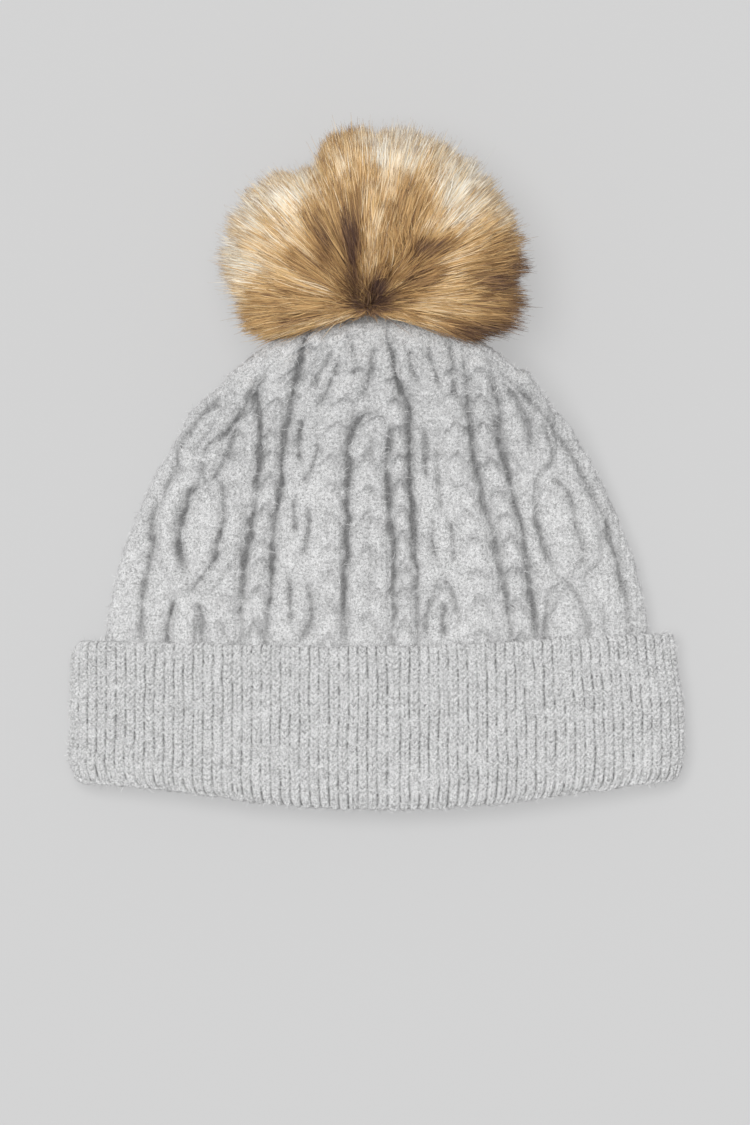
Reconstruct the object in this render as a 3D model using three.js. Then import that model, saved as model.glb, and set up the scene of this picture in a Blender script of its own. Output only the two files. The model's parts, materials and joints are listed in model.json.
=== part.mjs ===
// A knitted beanie with a turned-up ribbed cuff and a press-stud fur pom, lying flat.
// Millimetres, +Z up, +X across the hat, +Y from the cuff towards the pom.
// The origin is on the resting surface, below the middle of the whole object.
import * as THREE from "three";
import { ParametricGeometry } from "three/addons/geometries/ParametricGeometry.js";

// ---- driving dimensions -------------------------------------------------------------------

const CUFF_HALF_WIDTH = 120; // outer half width of the turned-up cuff at its lower edge
const CUFF_TOP_HALF_WIDTH = 118; // and at its free top edge
const CUFF_HALF_HEIGHT = 13.5; // half of the height that the four rib layers lie at
const CUFF_LOW_Y = -123.5; // the fold, at the two ends of the cuff
const CUFF_TOP_Y = -65; // the free top edge, at the two ends of the cuff
const FOLD_SAG = 10; // how far the middle of the fold hangs below its ends
const TOP_SAG = 3; // the same at the cuff's top edge
const CORNER_RADIUS = 10; // rounding of the cuff's lower corners
const RIB_THICK = 3; // one layer of rib knit
const LAYER_GAP = 0.6; // air between the cuff and the layer under it
const RIB_TOP_Y = -73.5; // where the inner rib layer is linked to the crown

const CROWN_THICK = 4.2; // cable knit
const CROWN_HALF_WIDTH = 107; // where the crown leaves the cuff
const CROWN_BASE_Y = -64; // the station where that width is measured
const CROWN_TIP_Y = 62; // where the crown's outline closes
const CROWN_FULLNESS = 1.56; // exponent of the outline, larger is blunter
const CROWN_HALF_HEIGHT = 15; // of the crown's middle
const TIP_ROUNDING_Y = 50; // where the crown's depth begins to close
const TIP_HOLE = 3.5; // radius of the gathered opening at the tip
const RISE_Y = -12; // from here the crown rises to the pom
const SEAM_X = 5; // the back seam lies a little off the middle of the upper side
const SEAM_WIDTH = 3;
const SEAM_THICK = 1.4;
const LABEL = [20, 30, 0.5]; // care label
const LABEL_X = 25;

const AXIS_Z = 48; // height of the snap's axis, which is the pom's middle
const POM_RADIUS = 58; // sideways, to the ends of the pile
const POM_TOP_Y = 133.3; // far end of the pile
const POM_RIM_Y = 52; // near edge of the pile, which overhangs the crown
const CORE_Y = 83; // middle of the stuffed core
const CORE_RADIUS = 14; // of the fur's backing
const BACKING_THICK = 1;
const NECK_RADIUS = 8; // gathered opening of the backing

const CLEAR = 0.35; // air between pieces that touch on the real object
const AROUND = 48; // sides of each knitted layer
const SECTION_POWER = 2.6; // superellipse exponent of the flattened knit
const UNDERSIDE = 0.97; // the underside lies flat at this share of a section's half height

// ---- materials ------------------------------------------------------------------------------

const finish = (color, roughness, metalness = 0) => ({ color, roughness, metalness });
const WOOL = finish(0xb9b9b9, 0.95);
const RIB = finish(0xc2c2c2, 0.95);
const THREAD = finish(0xa9a9a9, 0.8);
const FUR = finish(0xb08a5c, 0.8);
const BACKING = finish(0x8a6b4a, 0.9);
const FIBRE = finish(0xe8e4da, 0.9);
const FELT = finish(0x7d7d7d, 0.95);
const METAL = finish(0x9a958c, 0.35, 1);
const SATIN = finish(0xf1efe9, 0.5);

const hat = new THREE.Group();

function addPiece(name, geometry, look, parent = hat) {
  const mesh = new THREE.Mesh(geometry, new THREE.MeshStandardMaterial(look));
  mesh.name = name;
  parent.add(mesh);
  return mesh;
}

// ---- the flattened tube ----------------------------------------------------------------------

const lerp = THREE.MathUtils.lerp;
const smooth = THREE.MathUtils.smoothstep;

// One point of a flattened section: half width w, half height h, at the angle of turn u.
function sectionPoint(u, w, h, y, z, target) {
  const a = u === 1 ? 0 : u * 2 * Math.PI;
  const power = 2 / SECTION_POWER;
  const c = Math.cos(a);
  const s = Math.sin(a);
  const x = w * Math.sign(c) * Math.abs(c) ** power;
  const up = h * Math.max(-UNDERSIDE, Math.sign(s) * Math.abs(s) ** power);
  target.set(x, y - sagAt(y) * (1 - Math.min(1, (x / CUFF_HALF_WIDTH) ** 2)), z + up);
}

// The rows of the knit hang lower in the middle than at the ends, most at the fold.
function sagAt(y) {
  const inCuff = lerp(FOLD_SAG, TOP_SAG, (y - CUFF_LOW_Y) / (CUFF_TOP_Y - CUFF_LOW_Y));
  return Math.min(FOLD_SAG, Math.max(0, inCuff)) * (1 - smooth(y, CUFF_TOP_Y, CUFF_TOP_Y + 40));
}

// Height of the middle of the hat: flat on the table, then rising to the snap's axis.
function middleZ(y) {
  const flat = lerp(CUFF_HALF_HEIGHT, CROWN_HALF_HEIGHT, smooth(y, CUFF_TOP_Y, -15));
  return lerp(flat * UNDERSIDE, AXIS_Z, smooth(y, RISE_Y, CROWN_TIP_Y - 4));
}

// The outer surface of the cuff.
function cuffWidth(y) {
  const t = (y - CUFF_LOW_Y) / (CUFF_TOP_Y - CUFF_LOW_Y);
  const fromEdge = Math.min(CORNER_RADIUS, Math.max(0, y - CUFF_LOW_Y));
  const corner = CORNER_RADIUS - Math.sqrt(CORNER_RADIUS ** 2 - (CORNER_RADIUS - fromEdge) ** 2);
  return lerp(CUFF_HALF_WIDTH, CUFF_TOP_HALF_WIDTH, t) - corner;
}

// The outer surface of the layer under the cuff, which runs on into the crown.
const underCuff = RIB_THICK + LAYER_GAP;

function bodyWidth(y) {
  const t = Math.max(0, (y - CROWN_BASE_Y) / (CROWN_TIP_Y - CROWN_BASE_Y));
  const crown = CROWN_HALF_WIDTH * Math.sqrt(Math.max(0, 1 - t ** CROWN_FULLNESS));
  const rib = cuffWidth(y) - underCuff;
  return lerp(rib, crown, smooth(y, CUFF_LOW_Y + 10, RIB_TOP_Y));
}

function bodyHeight(y) {
  const rib = CUFF_HALF_HEIGHT - underCuff;
  const full = lerp(rib, CROWN_HALF_HEIGHT, smooth(y, CUFF_TOP_Y, -15));
  const blunt = Math.max(0, (y - TIP_ROUNDING_Y) / (CROWN_TIP_Y - TIP_ROUNDING_Y));
  return full * Math.sqrt(Math.max(0, 1 - blunt ** 2));
}

// A closed body whose section runs round a loop of rings. Each ring is [w, h, y, z].
function ringLoop(rings, around = AROUND) {
  return new ParametricGeometry((u, v, target) => {
    const place = v >= 1 ? 0 : v * rings.length;
    const i = Math.floor(place);
    const from = rings[i % rings.length];
    const to = rings[(i + 1) % rings.length];
    const [w, h, y, z] = from.map((value, k) => lerp(value, to[k], place - i));
    sectionPoint(u, w, h, y, z, target);
  }, around, rings.length);
}

const cuffRing = (y, depth) => [cuffWidth(y) - depth, CUFF_HALF_HEIGHT - depth, y, middleZ(y)];
const bodyRing = (y, depth) => [bodyWidth(y) - depth, bodyHeight(y) - depth, y, middleZ(y)];

const steps = (from, to, count) =>
  Array.from({ length: count }, (_, i) => lerp(from, to, i / (count - 1)));

// ---- knitted pieces ---------------------------------------------------------------------------

// One strip of rib knit, folded outwards: an inner layer, the fold, and the outer layer.
function ribCuff() {
  const foldThick = underCuff + RIB_THICK;
  const outer = steps(CUFF_TOP_Y - 1, CUFF_LOW_Y + 5, 6).map((y) => cuffRing(y, 0));
  const outerFold = steps(30, 150, 4).map((deg) => {
    const a = THREE.MathUtils.degToRad(deg);
    const depth = (foldThick / 2) * (1 - Math.cos(a));
    return cuffRing(CUFF_LOW_Y + 3.5 * (1 - Math.sin(a)), depth);
  });
  const inside = steps(CUFF_LOW_Y + 5, RIB_TOP_Y - 0.5, 6).map((y) => bodyRing(y, RIB_THICK));
  const innerBack = steps(RIB_TOP_Y - 0.5, CUFF_LOW_Y + 5, 5).map((y) => bodyRing(y, 0));
  const outerBack = steps(CUFF_LOW_Y + 5, CUFF_TOP_Y - 1, 5).map((y) => cuffRing(y, RIB_THICK));
  const hem = cuffRing(CUFF_TOP_Y, RIB_THICK / 2);
  return ringLoop([...outer, ...outerFold, ...inside, ...innerBack, ...outerBack, hem]);
}

// The cable-knit crown: a dome that narrows to a small gathered opening at the tip.
function crown() {
  const low = RIB_TOP_Y + CLEAR;
  const rows = steps(0, 1, 15).map((t) => 1 - (1 - t) ** 1.8);
  const outer = rows.map((t) => bodyRing(lerp(low, CROWN_TIP_Y - 0.1, t), 0));
  const inner = rows.map((t) => bodyRing(lerp(low, CROWN_TIP_Y - CROWN_THICK, t), CROWN_THICK));
  const gather = ([w, h, y, z]) => [Math.max(TIP_HOLE, w), Math.max(TIP_HOLE, h), y, z];
  const insideTip = [TIP_HOLE, TIP_HOLE, CROWN_TIP_Y - CROWN_THICK + 0.1, AXIS_Z];
  return ringLoop([...inner, insideTip, ...outer.reverse()].map(gather));
}

// The linking row that joins the inner rib layer to the crown, on the inside.
function linkingSeam() {
  const depth = CROWN_THICK + CLEAR;
  const ys = [RIB_TOP_Y - 1.5, RIB_TOP_Y + 2.5];
  const [below, above] = ys;
  return ringLoop([
    bodyRing(below, depth), bodyRing(below, depth + 1.2), bodyRing(above, depth + 1.2),
    bodyRing(above, depth),
  ]);
}

// A seam allowance lying along the inside of the upper wall, from one row to another.
function insideSeam(from, to, depth, count) {
  const rows = steps(from, to, count);
  const wall = (y) => middleZ(y) + bodyHeight(y) - depth;
  const spot = (y, drop) => new THREE.Vector2(y - sagAt(y), wall(y) - drop);
  const top = rows.map((y) => spot(y, 0));
  const bottom = rows.map((y) => spot(y, SEAM_THICK)).reverse();
  const options = { depth: SEAM_WIDTH, bevelEnabled: false };
  const geometry = new THREE.ExtrudeGeometry(new THREE.Shape([...top, ...bottom]), options);
  const along = new THREE.Vector3(0, 1, 0);
  const up = new THREE.Vector3(0, 0, 1);
  const across = new THREE.Vector3(1, 0, 0);
  geometry.applyMatrix4(new THREE.Matrix4().makeBasis(along, up, across));
  return geometry.translate(SEAM_X - SEAM_WIDTH / 2, 0, 0);
}

// ---- pieces turned about the snap's axis ---------------------------------------------------------

const snapAxis = new THREE.Group();
snapAxis.position.set(0, 0, AXIS_Z);
hat.add(snapAxis);

// A lathe about +Y. Each point is [radius, y].
function turned(name, points, look, around = 24) {
  const profile = points.map(([r, y]) => new THREE.Vector2(r, y));
  return addPiece(name, new THREE.LatheGeometry(profile, around), look, snapAxis);
}

// A closed ring of round section, listed clockwise so that its faces point out.
function cordRing(name, radius, y, thick, look) {
  const points = steps(0, 360, 7).map((deg) => {
    const a = THREE.MathUtils.degToRad(deg);
    return [radius + (thick / 2) * Math.cos(a), y + (thick / 2) * Math.sin(a)];
  });
  return turned(name, points, look);
}

const threadThick = 1.4;
const threadY = CROWN_TIP_Y - CROWN_THICK - CLEAR - threadThick / 2;
const washerFace = threadY - threadThick / 2 - CLEAR;
const washerThick = 1.2;
const studSeat = CROWN_TIP_Y + CLEAR;
const socketFace = studSeat + 1.6;
const discFace = socketFace + 4.6;
const capFace = discFace + 1.3;

function hatSideOfSnap() {
  cordRing("crown_gather_thread", 4.8, threadY, threadThick, THREAD);
  const washerBack = washerFace - washerThick;
  turned("crown_washer", [
    [2.9, washerBack], [7, washerBack], [7, washerFace], [2.9, washerFace], [2.9, washerBack],
  ], FELT);
  const plate = washerBack - CLEAR;
  turned("snap_post", [
    [1.5, plate - 0.8], [5.2, plate - 0.8], [5.6, plate - 0.4], [5.2, plate], [2.3, plate],
    [2.3, studSeat + 3.4], [1.5, studSeat + 3.4], [1.5, plate - 0.8],
  ], METAL);
  turned("snap_stud", [
    [2.65, studSeat], [6, studSeat], [6.3, studSeat + 0.4], [6, studSeat + 0.8],
    [3.3, studSeat + 0.9], [3.1, studSeat + 2.4], [3.7, studSeat + 3], [3.7, studSeat + 3.9],
    [3, studSeat + 4.5], [2.65, studSeat + 4.5], [2.65, studSeat],
  ], METAL);
}

// The split spring ring that grips the stud's neck inside the socket.
function springRing() {
  const gap = THREE.MathUtils.degToRad(30);
  const arc = new THREE.Curve();
  arc.getPoint = (t, target = new THREE.Vector3()) => {
    const a = lerp(gap / 2, 2 * Math.PI - gap / 2, t);
    return target.set(4.25 * Math.cos(a), 0, 4.25 * Math.sin(a));
  };
  const wire = new THREE.Shape();
  wire.absarc(0, 0, 0.3, 0, 2 * Math.PI);
  const options = { steps: 28, extrudePath: arc, curveSegments: 4 };
  const ring = addPiece("snap_ring", new THREE.ExtrudeGeometry(wire, options), METAL, snapAxis);
  ring.position.y = studSeat + 2.6;
}

function pomSideOfSnap() {
  turned("snap_socket", [
    [4.2, socketFace], [6.6, socketFace], [7, socketFace + 0.4], [7, socketFace + 3],
    [6.2, socketFace + 4.2], [2.2, socketFace + 4.2], [2.2, socketFace + 3.4],
    [5.2, socketFace + 3.4], [5.2, socketFace + 0.5], [4.2, socketFace + 0.5],
    [4.2, socketFace],
  ], METAL);
  turned("pom_base_disc", [
    [2.9, discFace], [12, discFace], [12, discFace + 1], [2.9, discFace + 1], [2.9, discFace],
  ], FELT);
  turned("snap_cap", [
    [0, capFace], [6.4, capFace], [6.8, capFace + 0.4], [6.4, capFace + 0.8],
    [0, capFace + 1.1],
  ], METAL);
}

// ---- the pom -------------------------------------------------------------------------------------

// Points of a core-shaped arc, from the neck to the far end.
function coreArc(radius, neck, count = 9) {
  const start = Math.asin(neck / radius);
  return steps(Math.PI - start, 0, count).map((a) => [
    a < 1e-6 ? 0 : radius * Math.sin(a), CORE_Y + radius * Math.cos(a),
  ]);
}

function pomCore() {
  const outer = coreArc(CORE_RADIUS, NECK_RADIUS);
  const inner = coreArc(CORE_RADIUS - BACKING_THICK, NECK_RADIUS - 0.4).reverse();
  turned("pom_backing", [...inner, ...outer].reverse().map(([r, y]) => [r, y]).reverse(), BACKING);
  const neckY = coreArc(CORE_RADIUS, NECK_RADIUS)[0][1];
  cordRing("pom_drawstring", NECK_RADIUS + 1.6, neckY - 0.9, 1.6, THREAD);
  const fill = coreArc(CORE_RADIUS - BACKING_THICK - CLEAR, NECK_RADIUS - 1.5);
  turned("pom_stuffing", [[0, fill[0][1]], ...fill], FIBRE);
}

// The pile as one soft body: domed away from the hat, dished over the crown, hollow for the
// core, and pressed flat where it rests on the table.
function pomPile() {
  const hollow = coreArc(CORE_RADIUS + CLEAR, NECK_RADIUS + 3.2).reverse();
  const dish = [[17, 65.6], [30, 60.8], [42, 56.2], [POM_RADIUS - 10, POM_RIM_Y]];
  const widestY = 80;
  const side = [[POM_RADIUS - 3, 60], [POM_RADIUS, 70]];
  const dome = steps(0, 90, 9).map((deg) => {
    const a = THREE.MathUtils.degToRad(deg);
    return [deg === 90 ? 0 : POM_RADIUS * Math.cos(a) ** 0.9,
      widestY + (POM_TOP_Y - widestY) * Math.sin(a)];
  });
  const profile = [...hollow, ...dish, ...side, ...dome];
  const pile = turned("pom_fur", profile, FUR, 32);
  const spots = pile.geometry.attributes.position;
  const squash = (AXIS_Z - 0.01) / POM_RADIUS;
  for (let i = 0; i < spots.count; i += 1) {
    const r = Math.hypot(spots.getX(i), spots.getZ(i));
    const outside = smooth(r, 20, 45);
    spots.setZ(i, spots.getZ(i) * lerp(1, squash, outside));
  }
}

// ---- label ---------------------------------------------------------------------------------------

// A blank care label lying on the lower inner rib layer, held by two bar tacks.
function careLabel() {
  const y = RIB_TOP_Y - 22;
  const bottom = middleZ(y) - bodyHeight(y) + RIB_THICK + 2 * CLEAR;
  const label = addPiece("care_label", new THREE.BoxGeometry(...LABEL), SATIN);
  label.position.set(LABEL_X, y - sagAt(y), bottom + LABEL[2] / 2);
  const tackRadius = 0.35;
  const tack = new THREE.CapsuleGeometry(tackRadius, 3, 3, 8);
  for (const side of ["left", "right"]) {
    const across = (side === "left" ? -1 : 1) * (LABEL[0] / 2 - 3);
    const mesh = addPiece(`label_tack_${side}`, tack, THREAD, label);
    mesh.position.set(across, LABEL[1] / 2 - 3, LABEL[2] / 2 + tackRadius + CLEAR / 2);
  }
}

// ---- assembly ------------------------------------------------------------------------------------

addPiece("rib_cuff", ribCuff(), RIB);
addPiece("crown", crown(), WOOL);
addPiece("linking_seam", linkingSeam(), THREAD);
addPiece("crown_seam", insideSeam(RIB_TOP_Y + 6, 38, CROWN_THICK + 2 * CLEAR, 12), THREAD);
addPiece("cuff_seam", insideSeam(CUFF_LOW_Y + 8, RIB_TOP_Y - 4, RIB_THICK + CLEAR, 4), THREAD);
careLabel();
hatSideOfSnap();
springRing();
pomSideOfSnap();
pomCore();
pomPile();

export default hat;
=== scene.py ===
"""The looks of a cable-knit beanie with a ribbed cuff and a fur pom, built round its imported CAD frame.

Sizes inside this script are in millimetres and are turned into metres as each mesh is made.
"""
import json
import math
import bpy
import numpy as np
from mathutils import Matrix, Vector


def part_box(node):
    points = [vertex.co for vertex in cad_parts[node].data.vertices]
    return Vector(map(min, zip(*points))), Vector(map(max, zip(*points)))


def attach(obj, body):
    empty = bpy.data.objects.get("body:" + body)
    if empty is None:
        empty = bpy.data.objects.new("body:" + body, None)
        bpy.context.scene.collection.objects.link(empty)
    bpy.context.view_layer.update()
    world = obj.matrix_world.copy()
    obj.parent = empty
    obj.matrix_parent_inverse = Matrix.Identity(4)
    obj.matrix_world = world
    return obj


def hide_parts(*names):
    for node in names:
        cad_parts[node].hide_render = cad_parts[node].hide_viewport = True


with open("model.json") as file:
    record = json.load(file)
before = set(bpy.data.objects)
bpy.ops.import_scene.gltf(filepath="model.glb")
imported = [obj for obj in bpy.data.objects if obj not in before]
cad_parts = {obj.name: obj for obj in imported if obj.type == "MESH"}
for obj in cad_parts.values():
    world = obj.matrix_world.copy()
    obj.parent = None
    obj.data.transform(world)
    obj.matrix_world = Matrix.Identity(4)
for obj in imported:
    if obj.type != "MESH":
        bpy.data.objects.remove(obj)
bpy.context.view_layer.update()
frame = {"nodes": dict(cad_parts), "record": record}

MM = 0.001


# ---- places and sizes, from the frame ----

def box_mm(node):
    low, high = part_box(node)
    return np.array(low) / MM, np.array(high) / MM


rib_low, rib_high = box_mm("rib_cuff")
crown_low, crown_high = box_mm("crown")
pile_low, pile_high = box_mm("pom_fur")
core_low, core_high = box_mm("pom_backing")
swivel = next(j for j in frame["record"]["behaviour"]["joints"] if j["name"] == "pom_swivel")
AXIS_Z = swivel["pos_m"][2] / MM

FOLD_SAG = 11.0  # the middle of the fold hangs this much lower than its ends
TOP_SAG = 3.4  # the same at the cuff's free edge
LOWEST_X = 5.0  # where it hangs lowest
FOLD_TILT = 0.006  # slope of the fold: its right end lies a little higher
TOP_TILT = 0.015  # the same at the cuff's free edge
UNDERSIDE = 0.97  # the underside lies flat at this share of a section's half height
SECTION_POWER = 2.6  # superellipse exponent of the flattened knit
BOTTOM_CORNER = 8.0  # corner radii of the turned-up cuff
TOP_CORNER = 5.0
RIB_THICK = 3.0
LAYER_GAP = 0.6  # air between the cuff's layers
CROWN_THICK = 4.2
CROWN_FULLNESS = 1.56  # exponent of the crown's outline
CROWN_HALF_HEIGHT = 15.0
TIP_ROUNDING_Y = 50.0  # the crown's thickness rounds off from here to the tip
RISE_Y = -12.0  # and it rises off the table from here
UNDER_CUFF = RIB_THICK + LAYER_GAP

CUFF_HALF_WIDTH = rib_high[0] + 0.5
CUFF_HALF_HEIGHT = rib_high[2] / (1 + UNDERSIDE)
CUFF_TOP_Y = rib_high[1] - 1.2
FOLD_Y = rib_low[1] + 9.8
RIB_TOP_Y = rib_high[1] - 8.3
CROWN_HALF_WIDTH = crown_high[0]
CROWN_BASE_Y = rib_high[1] + 1.2
TIP_Y = crown_high[1] + 0.1
TABLE_GAP = 0.05  # the lowest that the knit reaches over the table
AROUND = 4.0  # the turn coordinate q runs from -2 to 2: 0 top, 1 right fold, 2 underside


def smooth(y, low, high):
    t = np.clip((y - low) / (high - low), 0, 1)
    return t * t * (3 - 2 * t)


def mix(a, b, t):
    return a + (b - a) * t


def sag_at(y):
    inside = mix(FOLD_SAG, TOP_SAG, (y - FOLD_Y) / (CUFF_TOP_Y - FOLD_Y))
    return np.clip(inside, 0, FOLD_SAG) * (1 - smooth(y, CUFF_TOP_Y, CUFF_TOP_Y + 40))


def middle_z(y):
    flat = mix(CUFF_HALF_HEIGHT, CROWN_HALF_HEIGHT, smooth(y, CUFF_TOP_Y, -15))
    return mix(flat * UNDERSIDE, AXIS_Z, smooth(y, RISE_Y, TIP_Y - 4))


def lay_of(x, y):
    """How a row of the cuff lies: where a place on it ends up along Y."""
    off_lowest = np.clip(np.abs(x - LOWEST_X) / CUFF_HALF_WIDTH, 0, 1)
    hang = (0.5 + 0.5 * np.cos(math.pi * off_lowest)) ** 0.75
    share = np.clip((y - FOLD_Y) / (CUFF_TOP_Y - FOLD_Y), 0, 1)
    tilt = mix(FOLD_TILT, TOP_TILT, share) * (1 - smooth(y, CUFF_TOP_Y, CUFF_TOP_Y + 40))
    lift = corner_lift(x, BOTTOM_CORNER) * np.clip(1 - (y - FOLD_Y) / (2.2 * BOTTOM_CORNER), 0, 1)
    return y - sag_at(y) * hang + tilt * x + lift


def corner_lift(x, radius):
    beyond = np.clip(np.abs(x) - (CUFF_HALF_WIDTH - radius), 0, radius)
    return radius - np.sqrt(radius ** 2 - beyond ** 2)


def cuff_width(y):
    t = (y - FOLD_Y) / (CUFF_TOP_Y - FOLD_Y)
    return mix(CUFF_HALF_WIDTH, CUFF_HALF_WIDTH - 1.2, t) - 1.0 * (1 - smooth(y, FOLD_Y, FOLD_Y + 12))


def body_width(y):
    t = np.clip((y - CROWN_BASE_Y) / (TIP_Y - CROWN_BASE_Y), 0, 1)
    dome = CROWN_HALF_WIDTH * np.sqrt(np.clip(1 - t ** CROWN_FULLNESS, 0, 1))
    return mix(cuff_width(y) - UNDER_CUFF, dome, smooth(y, FOLD_Y + 10, RIB_TOP_Y))


def body_height(y):
    full = mix(CUFF_HALF_HEIGHT - UNDER_CUFF, CROWN_HALF_HEIGHT, smooth(y, CUFF_TOP_Y, -15))
    blunt = np.clip((y - TIP_ROUNDING_Y) / (TIP_Y - TIP_ROUNDING_Y), 0, 1)
    return full * np.sqrt(1 - blunt ** 2)


# ---- mesh helpers ----

def noise(points, size, seed):
    """Smooth value noise from -1 to 1, with features of the given size."""
    cells = 64
    table = np.random.default_rng(seed).uniform(-1, 1, (cells, cells, cells))
    p = points / size
    base = np.floor(p).astype(int)
    f = p - base
    f = f * f * (3 - 2 * f)
    total = np.zeros(len(points))
    for dx in (0, 1):
        for dy in (0, 1):
            for dz in (0, 1):
                share = (f[:, 0] if dx else 1 - f[:, 0]) * (f[:, 1] if dy else 1 - f[:, 1])
                share = share * (f[:, 2] if dz else 1 - f[:, 2])
                at = (base + (dx, dy, dz)) % cells
                total += share * table[at[:, 0], at[:, 1], at[:, 2]]
    return total


def make_mesh(name, points, faces, material, uv=None, values=None):
    """A mesh object from arrays: points in mm, faces of equal size, and per-point uv and values."""
    mesh = bpy.data.meshes.new(name)
    mesh.vertices.add(len(points))
    mesh.vertices.foreach_set("co", (np.asarray(points) * MM).astype(np.float32).ravel())
    mesh.loops.add(faces.size)
    mesh.loops.foreach_set("vertex_index", faces.astype(np.int32).ravel())
    mesh.polygons.add(len(faces))
    starts = np.arange(0, faces.size, faces.shape[1], dtype=np.int32)
    mesh.polygons.foreach_set("loop_start", starts)
    mesh.polygons.foreach_set("use_smooth", np.ones(len(faces), dtype=bool))
    mesh.update(calc_edges=True)
    if uv is not None:
        layer = mesh.uv_layers.new(name="OFBake")
        layer.data.foreach_set("uv", uv[faces.ravel()].astype(np.float32).ravel())
    for key, value in (values or {}).items():
        mesh.attributes.new(key, "FLOAT", "POINT").data.foreach_set("value", value.astype(np.float32))
    mesh.materials.append(material)
    piece = bpy.data.objects.new(name, mesh)
    bpy.context.scene.collection.objects.link(piece)
    return piece


def add_piece(name, points, faces, material, body, node, slot, uv=None, values=None):
    """A mesh that rides on a body and takes a CAD node's place."""
    piece = make_mesh(name, points, faces, material, uv, values)
    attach(piece, body)
    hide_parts(node)
    return piece


def circle(count):
    """Angles all round, evenly spaced."""
    return np.linspace(0, 2 * math.pi, count, endpoint=False)


def unit(vectors):
    """The same directions, each 1 long."""
    return vectors / np.maximum(np.linalg.norm(vectors, axis=-1, keepdims=True), 1e-9)


def grid_faces(rows, columns, wrap_rows=False, wrap_columns=False):
    r = np.arange(rows if wrap_rows else rows - 1)
    c = np.arange(columns if wrap_columns else columns - 1)
    r, c = np.meshgrid(r, c, indexing="ij")
    r2, c2 = (r + 1) % rows, (c + 1) % columns
    corners = [r * columns + c, r * columns + c2, r2 * columns + c2, r2 * columns + c]
    return np.stack([k.ravel() for k in corners], axis=1)


def grid_normals(grid):
    """Unit normals of a grid of points whose columns close on themselves."""
    along = np.gradient(grid, axis=0)
    across = np.roll(grid, -1, axis=1) - np.roll(grid, 1, axis=1)
    return unit(np.cross(across, along))


# ---- the flattened tube ----

def turn_samples(upper, lower):
    """Values of q round a section, closer together over the upper side."""
    top = np.linspace(-1, 1, upper, endpoint=False)
    return np.concatenate([top, np.linspace(1, 3, lower, endpoint=False)])


def section_table(w, h, count=361):
    """x and z against q for one flattened section, from the top's middle by the right fold."""
    a = np.linspace(math.pi / 2, -math.pi / 2, count)
    power = 2 / SECTION_POWER
    x = w * np.abs(np.cos(a)) ** power
    z = h * np.maximum(-UNDERSIDE, np.sign(np.sin(a)) * np.abs(np.sin(a)) ** power)
    length = np.concatenate([[0], np.cumsum(np.hypot(np.diff(x), np.diff(z)))])
    fold = length[count // 2]
    q = np.where(length <= fold, length / fold, 1 + (length - fold) / (length[-1] - fold))
    return q, x, z


def tube_grid(rows, q):
    """Points of a tube. Each row is (half width, half height, y)."""
    side = np.where(q > 2, q - 4, q)
    grid = np.zeros((len(rows), len(q), 3))
    for i, (w, h, y) in enumerate(rows):
        table_q, table_x, table_z = section_table(w, h)
        x = np.interp(np.abs(side), table_q, table_x) * np.sign(side)
        grid[i, :, 0] = x
        grid[i, :, 1] = lay_of(x, y)
        grid[i, :, 2] = middle_z(y) + np.interp(np.abs(side), table_q, table_z)
    return grid


# ---- knit patterns ----

def stroke_distance(x, y, points):
    """Distance of each place from a line of points, and how far along it that is, 0 to 1."""
    best = np.full(x.shape, 1e9)
    where = np.zeros(x.shape)
    points = np.asarray(points, dtype=float)
    count = len(points) - 1
    for k in range(count):
        a, d = points[k], points[k + 1] - points[k]
        t = np.clip(((x - a[0]) * d[0] + (y - a[1]) * d[1]) / (d @ d), 0, 1)
        gap = np.hypot(x - a[0] - t * d[0], y - a[1] - t * d[1])
        closer = gap < best
        best = np.where(closer, gap, best)
        where = np.where(closer, (k + t) / count, where)
    return best, where


def smooth_path(points, steps=6):
    """The same path with its corners rounded, as a Catmull-Rom curve."""
    p = np.asarray(points, dtype=float)
    if len(p) < 3:
        return p
    p = np.concatenate([[2 * p[0] - p[1]], p, [2 * p[-1] - p[-2]]])
    t = np.linspace(0, 1, steps, endpoint=False)[:, None]
    parts = [0.5 * (2 * p[k] + (p[k + 1] - p[k - 1]) * t
                    + (2 * p[k - 1] - 5 * p[k] + 4 * p[k + 1] - p[k + 2]) * t ** 2
                    + (3 * p[k] - p[k - 1] - 3 * p[k + 1] + p[k + 2]) * t ** 3)
             for k in range(1, len(p) - 2)]
    return np.concatenate(parts + [p[-2:-1]])


EDGE = CUFF_TOP_Y - 6  # strokes that run down under the cuff end here
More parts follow.
